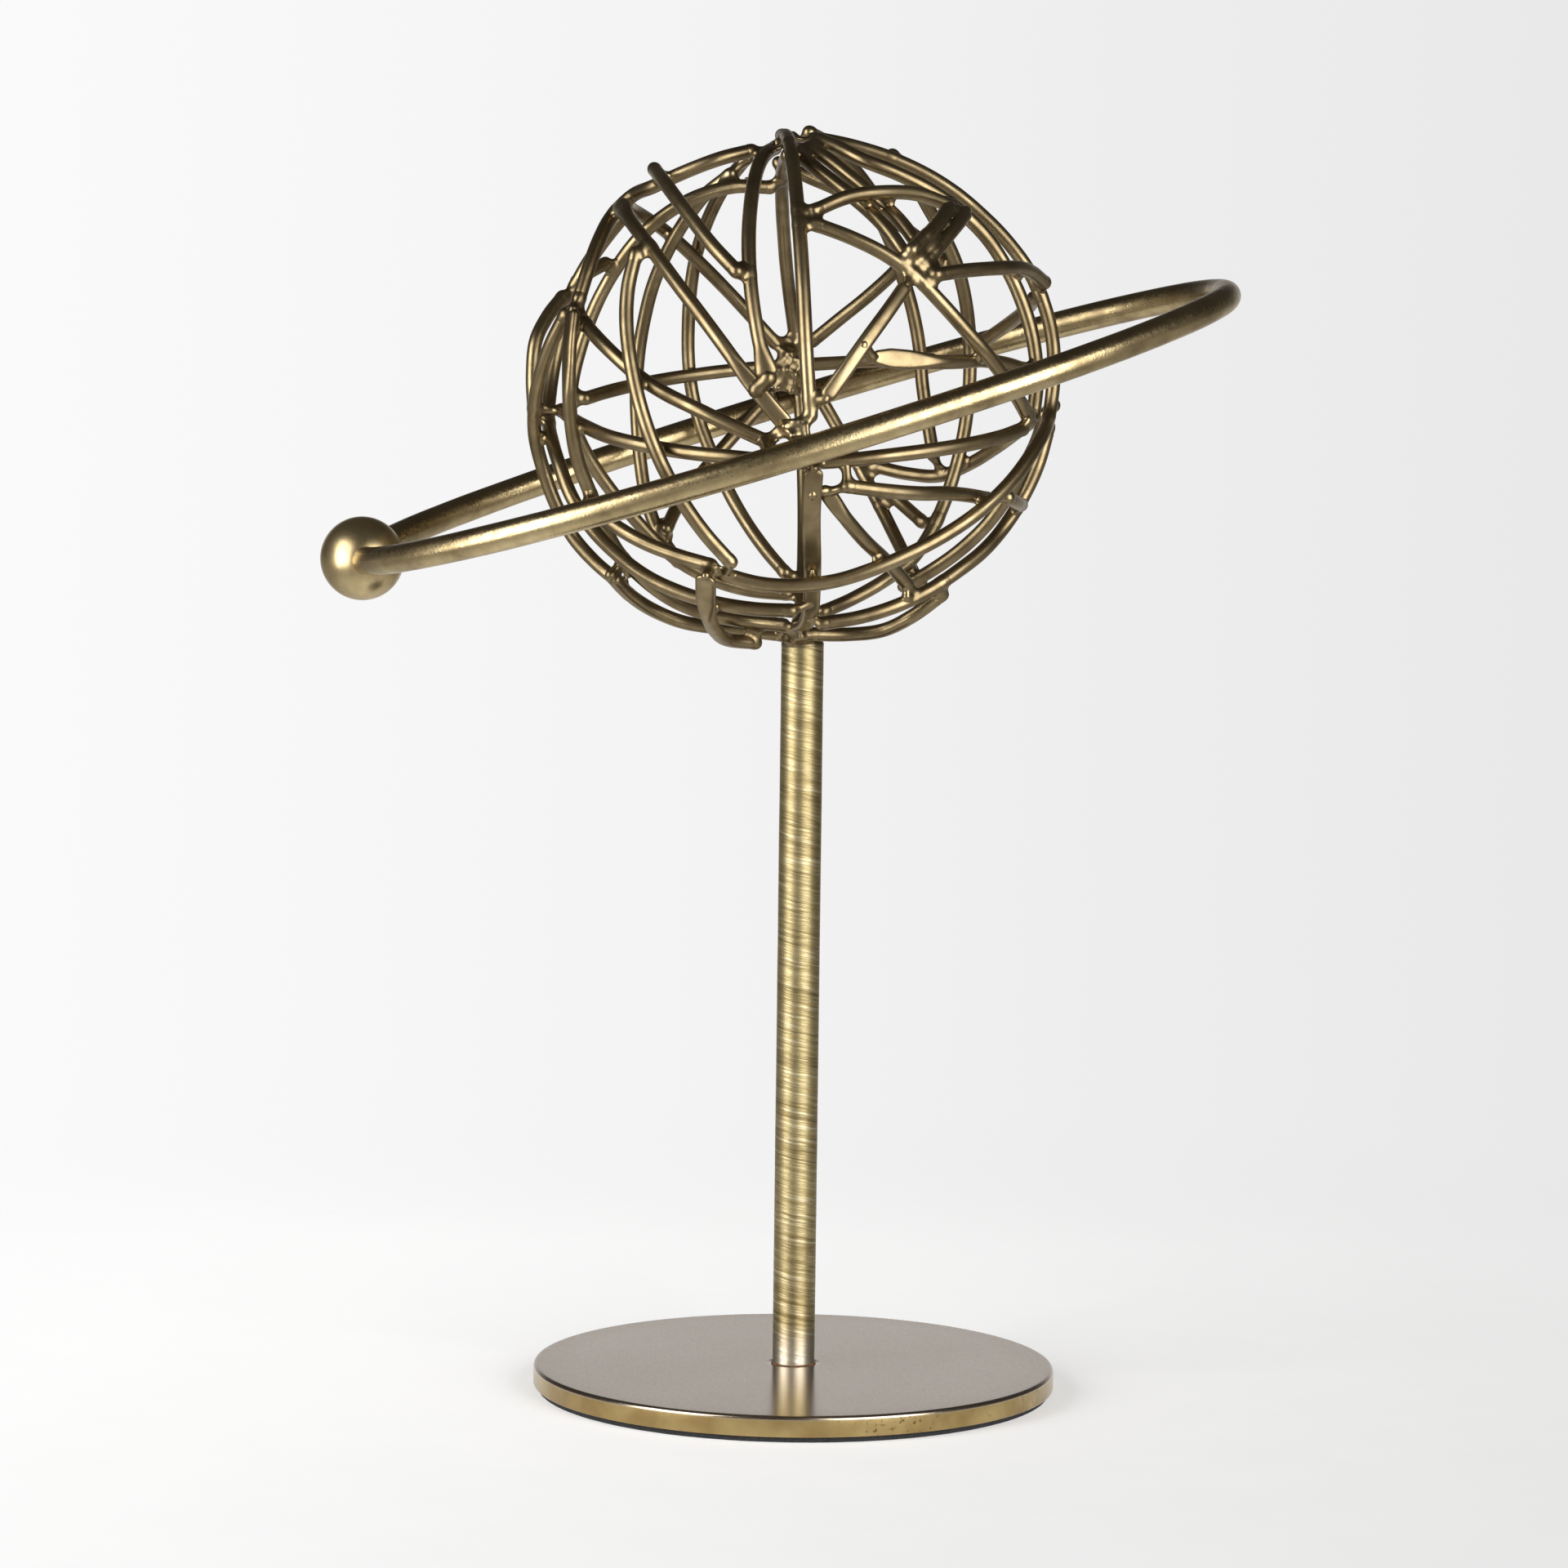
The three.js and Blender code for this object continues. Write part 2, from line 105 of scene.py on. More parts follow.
def ripple(points, wavelength, seed, waves=9):
    """A smooth random field, about -1 to 1, at each point."""
    source = np.random.default_rng(seed)
    directions = unit(source.normal(size=(waves, 3)))
    rates = 2 * np.pi / wavelength * source.uniform(0.6, 1.6, waves)
    shifts = source.uniform(0, 2 * np.pi, waves)
    return np.sin(points @ (directions * rates[:, None]).T + shifts).mean(axis=1) * 2


def smooth_line(points, step):
    """A curve through the points, with a point about every step of its length."""
    first = 2 * points[0] - points[1]
    last = 2 * points[-1] - points[-2]
    p = np.vstack([first, points, last])
    pieces_a_stretch = 12
    fine = []
    for i in range(1, len(p) - 2):
        for t in np.arange(pieces_a_stretch) / pieces_a_stretch:
            fine.append(0.5 * (
                2 * p[i]
                + (p[i + 1] - p[i - 1]) * t
                + (2 * p[i - 1] - 5 * p[i] + 4 * p[i + 1] - p[i + 2]) * t ** 2
                + (3 * p[i] - p[i - 1] - 3 * p[i + 1] + p[i + 2]) * t ** 3
            ))
    fine = np.array(fine + [points[-1]])
    lengths = line_lengths(fine)
    places = np.linspace(0, lengths[-1], max(4, round(lengths[-1] / step)) + 1)
    return at_lengths(fine, lengths, places)


def at_lengths(points, lengths, places):
    """The points of a line at the given places along it; lengths is line_lengths(points)."""
    return np.stack([np.interp(places, lengths, points[:, i]) for i in range(3)], axis=1)


def line_lengths(points):
    """How far along a line each of its points lies."""
    return np.concatenate([[0], np.cumsum(np.linalg.norm(np.diff(points, axis=0), axis=1))])


# ---------------------------------------------------------------- middle lines of the CAD rods
def end_cap(mesh, radius, corners):
    """The corners of one flat end of a CAD rod."""
    for face in mesh.faces:
        patch, edge_of_patch = {face}, [face]
        while edge_of_patch:
            for edge in edge_of_patch.pop().edges:
                for other in edge.link_faces:
                    if other not in patch and other.normal.dot(face.normal) > 0.99999:
                        patch.add(other)
                        edge_of_patch.append(other)
        found = {vert for member in patch for vert in member.verts}
        if len(found) != corners:
            continue
        centre = sum((vert.co for vert in found), Vector()) / corners
        if all(abs((vert.co - centre).length - radius) < 0.05 * radius for vert in found):
            return found
    raise ValueError("this rod has no flat end")


def rod_line(node, radius, corners):
    """The middle points of a CAD rod's rings of corners, from its higher end to its lower."""
    mesh = bmesh.new()
    mesh.from_mesh(frame["nodes"][node].data)
    bmesh.ops.remove_doubles(mesh, verts=mesh.verts, dist=1e-6)
    mesh.normal_update()
    ring = end_cap(mesh, radius, corners)
    seen = set(ring)
    points = []
    while ring:
        points.append(np.mean([vert.co[:] for vert in ring], axis=0))
        ring = {edge.other_vert(vert) for vert in ring for edge in vert.link_edges} - seen
        seen |= ring
    mesh.free()
    points = np.array(points)
    return points if points[0][2] >= points[-1][2] else points[::-1]


# ---------------------------------------------------------------- meshes
def swept_bar(line, out, widths, heights, squareness, sides):
    """Corners and faces of a closed bar round a middle line.

    Its height lies along out and its width across out. Widths and heights are half sizes.
    """
    along = unit(np.gradient(line, axis=0))
    out = unit(out - (out * along).sum(axis=1, keepdims=True) * along)
    across = np.cross(along, out)
    angles = np.linspace(0, 2 * np.pi, sides, endpoint=False)
    power = 2 / squareness[:, None]
    x = np.sign(np.cos(angles)) * np.abs(np.cos(angles)) ** power * widths[:, None]
    y = np.sign(np.sin(angles)) * np.abs(np.sin(angles)) ** power * heights[:, None]
    rings = line[:, None] + x[..., None] * across[:, None] + y[..., None] * out[:, None]
    verts = np.vstack([rings.reshape(-1, 3), line[:1], line[-1:]])
    faces = []
    for i in range(len(line) - 1):
        for j in range(sides):
            k = (j + 1) % sides
            faces.append((i * sides + j, i * sides + k, (i + 1) * sides + k, (i + 1) * sides + j))
    first_tip, last_tip = len(verts) - 2, len(verts) - 1
    last_ring = (len(line) - 1) * sides
    for j in range(sides):
        k = (j + 1) % sides
        faces.append((first_tip, k, j))
        faces.append((last_tip, last_ring + j, last_ring + k))
    return verts, faces


def turned_mesh(profile, segments):
    """Turns a closed profile of (radius, height) about Z. Corners on the axis are shared."""
    verts, faces, rows = [], [], []
    for radius, height in profile:
        if radius < 1e-9:
            rows.append([len(verts)] * segments)
            verts.append((0, 0, height))
            continue
        rows.append(list(range(len(verts), len(verts) + segments)))
        for i in range(segments):
            angle = 2 * math.pi * i / segments
            verts.append((radius * math.cos(angle), radius * math.sin(angle), height))
    for row, after in zip(rows, rows[1:]):
        for i in range(segments):
            k = (i + 1) % segments
            face = list(dict.fromkeys((row[i], row[k], after[k], after[i])))
            if len(face) > 2:
                faces.append(face)
    return np.array(verts), faces


def arc(centre, radius, start, stop, steps):
    """Points of a (radius, height) profile along an arc, angles in degrees."""
    return [
        (centre[0] + radius * math.cos(math.radians(a)), centre[1] + radius * math.sin(math.radians(a)))
        for a in np.linspace(start, stop, steps + 1)
    ]


def finish_piece(piece, material, replaced=()):
    """Gives a piece its material and slot, and hides the CAD nodes that it stands for."""
    piece.data.materials.clear()
    piece.data.materials.append(material)
    for polygon in piece.data.polygons:
        polygon.use_smooth = True
    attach(piece, "root")
    if replaced:
        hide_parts(*replaced)
    return piece


def new_object(name, verts, faces):
    """A mesh object with its faces turned outward."""
    mesh = bpy.data.meshes.new(name)
    mesh.from_pydata(np.asarray(verts).tolist(), [], [tuple(face) for face in faces])
    mesh.update()
    shaper = bmesh.new()
    shaper.from_mesh(mesh)
    bmesh.ops.recalc_face_normals(shaper, faces=shaper.faces)
    shaper.to_mesh(mesh)
    shaper.free()
    piece = bpy.data.objects.new(name, mesh)
    bpy.context.scene.collection.objects.link(piece)
    return piece


# ---------------------------------------------------------------- material building
def add(tree, kind, settings=None, **inputs):
    """A shader node. A socket's name has _ for a space; a value may be another node's output."""
    node = tree.nodes.new(kind)
    for key, value in (settings or {}).items():
        setattr(node, key, value)
    for key, value in inputs.items():
        socket = node.inputs[key.replace("_", " ")]
        if isinstance(value, bpy.types.NodeSocket):
            tree.links.new(value, socket)
        else:
            socket.default_value = value
    return node


def maths(tree, operation, a, b=0.0):
    node = tree.nodes.new("ShaderNodeMath")
    node.operation = operation
    for socket, value in zip(node.inputs, (a, b)):
        if isinstance(value, bpy.types.NodeSocket):
            tree.links.new(value, socket)
        else:
            socket.default_value = value
    return node.outputs[0]


def ramp(tree, factor, stops):
    """A colour ramp; stops is a list of (place, colour)."""
    node = add(tree, "ShaderNodeValToRGB", Fac=factor)
    elements = node.color_ramp.elements
    while len(elements) < len(stops):
        elements.new(0.5)
    for element, (place, colour) in zip(elements, stops):
        element.position = place
        element.color = (*colour, 1)
    return node.outputs["Color"]


def spread(tree, value, low, high, to_low, to_high):
    """Maps low..high to to_low..to_high and stays level outside."""
    node = add(
        tree, "ShaderNodeMapRange", Value=value,
        From_Min=low, From_Max=high, To_Min=to_low, To_Max=to_high,
    )
    return node.outputs["Result"]


def noise(tree, vector, scale, detail=4.0, roughness=0.55):
    """Noise, about 0.3 to 0.7, with scale waves to the metre."""
    node = add(
        tree, "ShaderNodeTexNoise", Vector=vector, Scale=scale, Detail=detail, Roughness=roughness,
    )
    return node.outputs["Fac"]


def mixed(tree, factor, a, b):
    """Colour a at factor 0, colour b at factor 1."""
    node = tree.nodes.new("ShaderNodeMix")
    node.data_type = "RGBA"
    node.clamp_result = True
    for socket, value in ((node.inputs[0], factor), (node.inputs[6], a), (node.inputs[7], b)):
        if isinstance(value, bpy.types.NodeSocket):
            tree.links.new(value, socket)
        elif isinstance(value, tuple):
            socket.default_value = (*value, 1)
        else:
            socket.default_value = value
    return node.outputs[2]


def new_material(name):
    """A material, its node tree, its shader and the place on the object as a texture vector."""
    material = bpy.data.materials.new(name)
    material.use_nodes = True
    tree = material.node_tree
    shader = tree.nodes["Principled BSDF"]
    place = add(tree, "ShaderNodeTexCoord").outputs["Object"]
    return material, tree, shader, place


def bumped(tree, height, distance, strength, below=None):
    """A normal bumped by height, on top of the normal below if there is one."""
    node = add(tree, "ShaderNodeBump", Height=height, Distance=distance, Strength=strength)
    if below is not None:
        tree.links.new(below, node.inputs["Normal"])
    return node.outputs["Normal"]


# Tones of the plating, from its darkest patches to its lightest, on the wires and on the ring.
# The ring's set is painted light: the same plating as the wires, made about twice as bright because
# the ring catches more light from the front than the higher cage does. The wires' set is the shaded
# copy.
DARK = (0.06, 0.043, 0.025)
BROWN = (0.155, 0.113, 0.062)
GOLD = (0.245, 0.186, 0.100)
BRIGHT = (0.34, 0.265, 0.150)
RING_LIT_BROWN = (0.29, 0.214, 0.112)
RING_LIT_GOLD = (0.50, 0.39, 0.206)
RING_LIT_BRIGHT = (0.64, 0.513, 0.287)


def aged_brass(name, tones, roughness, pits, specks_share, grain=0.15, painted_top_shade=0.0):
    """Satin brass plating, darkened in patches: tones is its darkest, middle and lightest colour.

    Roughness is that of the worn patches and of the dull ones. Pits and grain are how strongly the
    broad dents and the fine grain show. Painted top shade is how far the colour is painted darker brown
    where it faces up: painted shade on its upper side.
    """
    material, tree, shader, place = new_material(name)
    broad = noise(tree, place, 60, detail=2)
    patches = noise(tree, place, 300, detail=3, roughness=0.5)
    fine = noise(tree, place, 1800, detail=2)
    specks = noise(tree, place, 1300, detail=2, roughness=0.4)
    wear = maths(tree, "ADD", maths(tree, "MULTIPLY", broad, 0.6), maths(tree, "MULTIPLY", patches, 0.4))
    colour = ramp(tree, wear, [(0.33, tones[0]), (0.50, tones[1]), (0.67, tones[2])])
    speck = spread(tree, specks, 0.70, 0.76, 0.0, specks_share)
    colour = mixed(tree, speck, colour, DARK)
    # Painted shade: the colour goes darker brown where the surface faces up, with a speckled border.
    if painted_top_shade:
        normal = add(tree, "ShaderNodeTexCoord").outputs["Normal"]
        facing = add(tree, "ShaderNodeSeparateXYZ", Vector=normal)
        edge = maths(tree, "ADD", facing.outputs["Z"], maths(tree, "MULTIPLY", specks, 1.4))
        colour = mixed(tree, spread(tree, edge, 0.95, 1.25, 0.0, painted_top_shade), colour, BROWN)
    tree.links.new(colour, shader.inputs["Base Color"])
    shader.inputs["Metallic"].default_value = 1.0
    worn = spread(tree, patches, 0.35, 0.7, roughness[1], roughness[0])
    fine_rough = spread(tree, fine, 0.3, 0.7, -0.02, 0.02)
    tree.links.new(maths(tree, "ADD", worn, fine_rough), shader.inputs["Roughness"])
    dents = bumped(tree, patches, 0.1 * MM, pits)
    grain_height = (0.02 + 0.04 * grain) * MM
    tree.links.new(bumped(tree, fine, grain_height, grain, dents), shader.inputs["Normal"])
    return material


def post_brass():
    """Brass with fine sanding marks that wind round the post."""
    material, tree, shader, place = new_material("post_brass")
    parts = add(tree, "ShaderNodeSeparateXYZ", Vector=place)
    angle = maths(tree, "ARCTAN2", parts.outputs["Y"], parts.outputs["X"])
    round_way = maths(tree, "MULTIPLY", angle, float(POST_RADIUS))
    slope = 0.2  # how steeply the marks climb round the post
    across_marks = maths(tree, "ADD", parts.outputs["Z"], maths(tree, "MULTIPLY", round_way, slope))
    marks_place = add(
        tree, "ShaderNodeCombineXYZ", X=maths(tree, "MULTIPLY", round_way, 0.05), Y=across_marks,
    ).outputs["Vector"]
    fine_marks = noise(tree, marks_place, 3400, detail=3, roughness=0.7)
    deep_marks = noise(tree, marks_place, 1250, detail=2, roughness=0.5)
    bands = noise(tree, marks_place, 260, detail=3)
    broad = noise(tree, place, 50, detail=2)
    tone = maths(tree, "ADD", maths(tree, "MULTIPLY", bands, 0.6), maths(tree, "MULTIPLY", broad, 0.4))
    colour = ramp(tree, tone, [
        (0.36, (0.232, 0.178, 0.078)), (0.5, (0.312, 0.249, 0.118)), (0.64, (0.387, 0.316, 0.160)),
    ])
    scratch = spread(tree, fine_marks, 0.52, 0.72, 0.0, 0.6)
    colour = mixed(tree, scratch, colour, (0.74, 0.64, 0.42))
    dark_scratch = spread(tree, fine_marks, 0.43, 0.28, 0.0, 0.55)
    colour = mixed(tree, dark_scratch, colour, (0.17, 0.125, 0.055))
    bright_groove = spread(tree, deep_marks, 0.57, 0.68, 0.0, 0.45)
    colour = mixed(tree, bright_groove, colour, (0.72, 0.64, 0.44))
    dark_groove = spread(tree, deep_marks, 0.43, 0.33, 0.0, 0.6)
    colour = mixed(tree, dark_groove, colour, (0.13, 0.095, 0.04))
    foot = float(POST_BOTTOM)
    # The post's colour grows paler and greyer over its lowest 10 mm, towards the plate.
    paler_foot = spread(tree, parts.outputs["Z"], foot + 10 * MM, foot + 1 * MM, 0.0, 0.85)
    colour = mixed(tree, paler_foot, colour, (0.60, 0.55, 0.46))
    tree.links.new(colour, shader.inputs["Base Color"])
    shader.inputs["Metallic"].default_value = 1.0
    tree.links.new(spread(tree, fine_marks, 0.3, 0.7, 0.46, 0.38), shader.inputs["Roughness"])
    grooves = bumped(tree, deep_marks, 0.2 * MM, 0.5)
    tree.links.new(bumped(tree, fine_marks, 0.05 * MM, 0.6, grooves), shader.inputs["Normal"])
    return material


def base_brass():
    """Satin plate: taupe and even on top, gold on its edge with a few brown specks."""
    material, tree, shader, place = new_material("base_brass")
    broad = noise(tree, place, 20, detail=3)
    fine = noise(tree, place, 2600, detail=3)
    specks = noise(tree, place, 900, detail=3, roughness=0.5)
    where_specks = noise(tree, place, 45, detail=2)
    colour = ramp(tree, broad, [(0.3, (0.46, 0.392, 0.325)), (0.7, (0.52, 0.45, 0.385))])
    parts = add(tree, "ShaderNodeSeparateXYZ", Vector=place)
    flat_place = add(tree, "ShaderNodeCombineXYZ", X=parts.outputs["X"], Y=parts.outputs["Y"])
    from_middle = add(tree, "ShaderNodeVectorMath", {"operation": "LENGTH"})
    tree.links.new(flat_place.outputs["Vector"], from_middle.inputs[0])
    outline = float(BASE_RADIUS)
    rim = spread(tree, from_middle.outputs["Value"], outline - 9 * MM, outline - 1 * MM, 0.0, 0.35)
    colour = mixed(tree, rim, colour, (0.36, 0.29, 0.22))
    top = float(BASE_TOP)
    edge = spread(tree, parts.outputs["Z"], top - 0.4 * MM, top - 1.1 * MM, 0.0, 1.0)
    edge_tone = noise(tree, place, 90, detail=3)
    edge_colour = ramp(tree, edge_tone, [(0.35, (0.32, 0.22, 0.088)), (0.65, (0.46, 0.345, 0.15))])
    colour = mixed(tree, edge, colour, edge_colour)
    dots = spread(tree, specks, 0.60, 0.68, 0.0, 0.8)
    crowded = spread(tree, where_specks, 0.5, 0.6, 0.0, 1.0)
    speck = maths(tree, "MULTIPLY", edge, maths(tree, "MULTIPLY", dots, crowded))
    colour = mixed(tree, speck, colour, (0.12, 0.07, 0.03))
    tree.links.new(colour, shader.inputs["Base Color"])
    shader.inputs["Metallic"].default_value = 1.0
    tree.links.new(spread(tree, fine, 0.3, 0.7, 0.17, 0.24), shader.inputs["Roughness"])
    tree.links.new(bumped(tree, fine, 0.02 * MM, 0.12), shader.inputs["Normal"])
    return material


def mottled(name, scale, stops, roughness, bump, metal=0.0, crumbly=0.55):
    """A plain material in two tones of fine noise, which also varies its roughness and bumps it.

    Roughness is (on the dark tone, on the light one) and bump is (depth, strength).
    """
    material, tree, shader, place = new_material(name)
    tone = noise(tree, place, scale, roughness=crumbly)
    tree.links.new(ramp(tree, tone, stops), shader.inputs["Base Color"])
    shader.inputs["Metallic"].default_value = metal
    tree.links.new(spread(tree, tone, 0.3, 0.7, *roughness), shader.inputs["Roughness"])
    tree.links.new(bumped(tree, tone, *bump), shader.inputs["Normal"])
    return material


WIRE_TONES = (BROWN, GOLD, BRIGHT)
RING_LIT_TONES = (RING_LIT_BROWN, RING_LIT_GOLD, RING_LIT_BRIGHT)
WIRE_BRASS = aged_brass("wire_brass", WIRE_TONES, (0.30, 0.38), pits=0.08, specks_share=0.3)
# The ring and the ball take the ring's tones: painted light, a brighter copy of the wires' plating.
RING_BRASS = aged_brass(
    "ring_brass", RING_LIT_TONES, (0.24, 0.33), pits=0.5, specks_share=0.5, grain=0.7, painted_top_shade=0.5,
)
BALL_BRASS = aged_brass("ball_brass", RING_LIT_TONES, (0.28, 0.34), pits=0.1, specks_share=0.2)
WELD_BRASS = aged_brass("weld_brass", WIRE_TONES, (0.28, 0.38), pits=0.2, specks_share=0.4, grain=0.3)
POST_BRASS = post_brass()
BASE_BRASS = base_brass()
FOAM = mottled(
    "foam", 2200, [(0.35, (0.006, 0.006, 0.007)), (0.7, (0.035, 0.034, 0.036))],
    (0.85, 0.97), (0.2 * MM, 0.6), crumbly=0.7,
)
STEEL = mottled(
    "steel", 1800, [(0.3, (0.36, 0.36, 0.36)), (0.7, (0.58, 0.58, 0.57))],
    (0.3, 0.45), (0.03 * MM, 0.3), metal=1.0,
)
GLUE = mottled(
    "glue", 900, [(0.3, (0.10, 0.045, 0.02)), (0.7, (0.26, 0.13, 0.06))],
    (0.4, 0.7), (0.1 * MM, 0.5),
)


# ---------------------------------------------------------------- base, pad, screw and post
def make_base():
    """The flat plate, with its upper edge rounded and a countersunk hole in the middle."""
    edge = 0.8 * MM
    under = 0.3 * MM
    hole = 2.8 * MM
    sink = 5.1 * MM
    sink_wall = 0.7 * MM
    sink_depth = 3.3 * MM
    profile = [(sink, BASE_BOTTOM)]
    profile += arc((BASE_RADIUS - under, BASE_BOTTOM + under), under, -90, 0, 4)
    profile += arc((BASE_RADIUS - edge, BASE_TOP - edge), edge, 0, 90, 10)
    profile += [(radius, BASE_TOP) for radius in np.linspace(BASE_RADIUS - 2 * edge, hole, 16)]
    profile += [(hole, BASE_BOTTOM + sink_depth), (sink, BASE_BOTTOM + sink_wall), (sink, BASE_BOTTOM)]
    verts, faces = turned_mesh(profile, 256)
    piece = new_object("base_plate", verts, faces)
    join_seam(piece)
    return finish_piece(piece, BASE_BRASS, ["base_disc"])


def join_seam(piece):
    """Joins corners that lie on each other, so that a profile which closes on itself is one skin."""
    shaper = bmesh.new()
    shaper.from_mesh(piece.data)
    bmesh.ops.remove_doubles(shaper, verts=shaper.verts, dist=1e-7)
    bmesh.ops.recalc_face_normals(shaper, faces=shaper.faces)
    shaper.to_mesh(piece.data)
    shaper.free()


def make_pad():
    """The thin foam disc under the plate, its edge slightly crumbled."""
    edge = 0.35 * MM
    crumble = 0.12 * MM
    profile = [(0, 0)] + [(radius, 0) for radius in np.linspace(0.1, 0.95, 8) * PAD_RADIUS]
    profile += arc((PAD_RADIUS - edge, edge), edge, -90, 0, 5)
    profile += arc((PAD_RADIUS - edge, PAD_TOP - edge), edge, 0, 90, 5)
    profile += [(0, PAD_TOP)]
    verts, faces = turned_mesh(profile, 256)
    on_edge = np.hypot(verts[:, 0], verts[:, 1]) > PAD_RADIUS - 2 * edge
    missing = on_edge * (0.5 + 0.5 * ripple(verts, 1.5 * MM, 4)) * crumble
    verts = verts - from_axis(verts) * missing[:, None]
    return finish_piece(new_object("foam_pad", verts, faces), FOAM, ["base_pad"])


def make_post():
    """The round post, slightly uneven, with the screw's bore in its foot."""
    chamfer = 0.5 * MM
    foot = 0.15 * MM
    bore = 2.8 * MM
    bore_top = POST_BOTTOM + 15 * MM
    heights = np.linspace(POST_BOTTOM + 2 * foot, POST_TOP - 2 * chamfer, 120)
    profile = [(bore, POST_BOTTOM)]
    profile += arc((POST_RADIUS - foot, POST_BOTTOM + foot), foot, -90, 0, 3)
    profile += [(POST_RADIUS, height) for height in heights]
    profile += arc((POST_RADIUS - chamfer, POST_TOP - chamfer), chamfer, 0, 90, 5)
    profile += [(0, POST_TOP), (0, bore_top + bore), (bore, bore_top), (bore, POST_BOTTOM)]
    verts, faces = turned_mesh(profile, 96)
    outside = np.hypot(verts[:, 0], verts[:, 1]) > POST_RADIUS * 0.98
    unevenness = outside * ripple(verts, 14 * MM, 7) * 0.02 * MM
    verts = verts + from_axis(verts) * unevenness[:, None]
    piece = new_object("post_tube", verts, faces)
    join_seam(piece)
    return finish_piece(piece, POST_BRASS, ["post"])


def make_foot_line():
    """The thin uneven line of glue round the foot of the post."""
    offset = 0.08 * MM  # from the post's side to the middle of the line
    lift = 0.05 * MM  # from the plate's top to the middle of the line
    angles = np.linspace(0, 2 * np.pi, 161)[:-1]
    circle = np.stack([np.cos(angles), np.sin(angles), angles * 0], axis=1)
    thickness = (0.16 + 0.07 * ripple(circle * POST_RADIUS, 5 * MM, 12)) * MM
    verts, faces = [], []
    sides = 10
    for direction, radius in zip(circle, thickness):
        for j in range(sides):
            a = 2 * math.pi * j / sides
            reach = POST_RADIUS + offset + radius * math.cos(a)
            verts.append((*(direction[:2] * reach), BASE_TOP + lift + radius * math.sin(a)))
    for i in range(len(angles)):
        n = (i + 1) % len(angles)
        for j in range(sides):
            k = (j + 1) % sides
            faces.append((i * sides + j, i * sides + k, n * sides + k, n * sides + j))
    return finish_piece(new_object("foot_glue", verts, faces), GLUE)


# ---------------------------------------------------------------- ring and ball
def end_round(distance, radius):
    """How far a rod with a rounded end has swelled at a distance from its tip, 0 to 1."""
    share = np.clip(distance / radius, 0, 1)
    return np.sqrt(np.maximum(1 - (1 - share) ** 2, 0.0))


def rod_places(length, radius, step):
    """Places along a rod, closer together over its rounded ends, which are radius long."""
    tip = radius * (1 - np.cos(np.linspace(0.12, np.pi / 2, 7)))
    inner = np.linspace(radius, length - radius, max(2, round((length - 2 * radius) / step)) + 1)
    return np.concatenate([tip[:-1], inner, (length - tip[:-1])[::-1]])


def make_ring(line):
    """The bent rod of the ring, its two sawn ends hardly rounded."""
    end_radius = 0.3 * MM
    lengths = line_lengths(line)
    places = rod_places(lengths[-1], end_radius, 1.0 * MM)
    centres = at_lengths(line, lengths, places)
    round_off = np.minimum(end_round(places, end_radius), end_round(lengths[-1] - places, end_radius))
    radii = RING_RADIUS * (1 + 0.008 * ripple(centres, 25 * MM, 21)) * np.maximum(round_off, 0.05)
    out = centres - middle("ring")
    verts, faces = swept_bar(centres, out, radii, radii, np.full(len(places), ROUND), 40)
    return finish_piece(new_object("ring_rod", verts, faces), RING_BRASS, ["ring"])


def make_ball():
    """The ball over the ring's joint."""
    shaper = bmesh.new()
    bmesh.ops.create_uvsphere(shaper, u_segments=96, v_segments=64, radius=BALL_RADIUS)
    bmesh.ops.translate(shaper, verts=shaper.verts, vec=Vector(BALL_CENTRE))
    mesh = bpy.data.meshes.new("ring_end_ball")
    shaper.to_mesh(mesh)
    shaper.free()
    piece = bpy.data.objects.new("ring_end_ball", mesh)
    bpy.context.scene.collection.objects.link(piece)
    return finish_piece(piece, BALL_BRASS, ["ring_ball"])


# ---------------------------------------------------------------- cage wires
# How a wire was hammered: (share of its length from its higher end, width, thickness), both as
# shares of the round wire's. A wire that isn't listed stays round.
HAMMERED = {
    "front_left_diagonal": [
        (0, 1.3, 0.8), (0.07, 1.25, 0.8), (0.13, 1, 1), (0.76, 1, 1), (0.84, 1.15, 0.6), (1, 1.2, 0.55),
    ],
    "front_top_left_bar": [(0, 1, 1), (0.91, 1, 1), (0.965, 1.5, 0.85), (1, 1.7, 0.8)],
    "left_long_bow": [(0, 1.35, 0.7), (0.12, 1.3, 0.7), (0.2, 1, 1)],
    "front_right_strut": [(0, 1.0, 0.8), (1, 1.1, 0.75)],
    "front_right_belt": [(0, 0.8, 0.5), (0.09, 1.4, 0.5), (0.18, 1.35, 0.55), (0.32, 1, 1)],
    "front_lower_strip": [(0, 1.3, 0.45), (0.5, 1.2, 0.5), (0.9, 1.15, 0.55), (1, 1.1, 0.6)],
    "front_lower_right_brace": [(0, 1.2, 0.7), (0.1, 1.15, 0.75), (0.2, 1, 1)],
    "front_right_diagonal": [(0, 1, 1), (0.88, 1, 1), (0.95, 1.25, 0.7), (1, 1.25, 0.7)],
    "bottom_left_hook": [(0, 1.5, 0.5), (0.22, 1.45, 0.55), (0.36, 1.1, 1), (1, 1.05, 1)],
    "bottom_left_bow": [(0, 1.35, 0.95), (0.25, 1.25, 1), (0.4, 1, 1)],
    "right_lap_pin_high": [(0, 1.15, 0.9), (0.3, 1.05, 0.95), (1, 1, 1)],
    "right_lap_pin_low": [(0, 1.15, 0.9), (0.3, 1.05, 0.95), (1, 1, 1)],
}


def hammered(name, share):
    """A wire's width and thickness at a share of its length, as shares of the round wire's."""
    form = np.array(HAMMERED.get(name, [(0, 1, 1), (1, 1, 1)]), float)
    return np.interp(share, form[:, 0], form[:, 1]), np.interp(share, form[:, 0], form[:, 2])


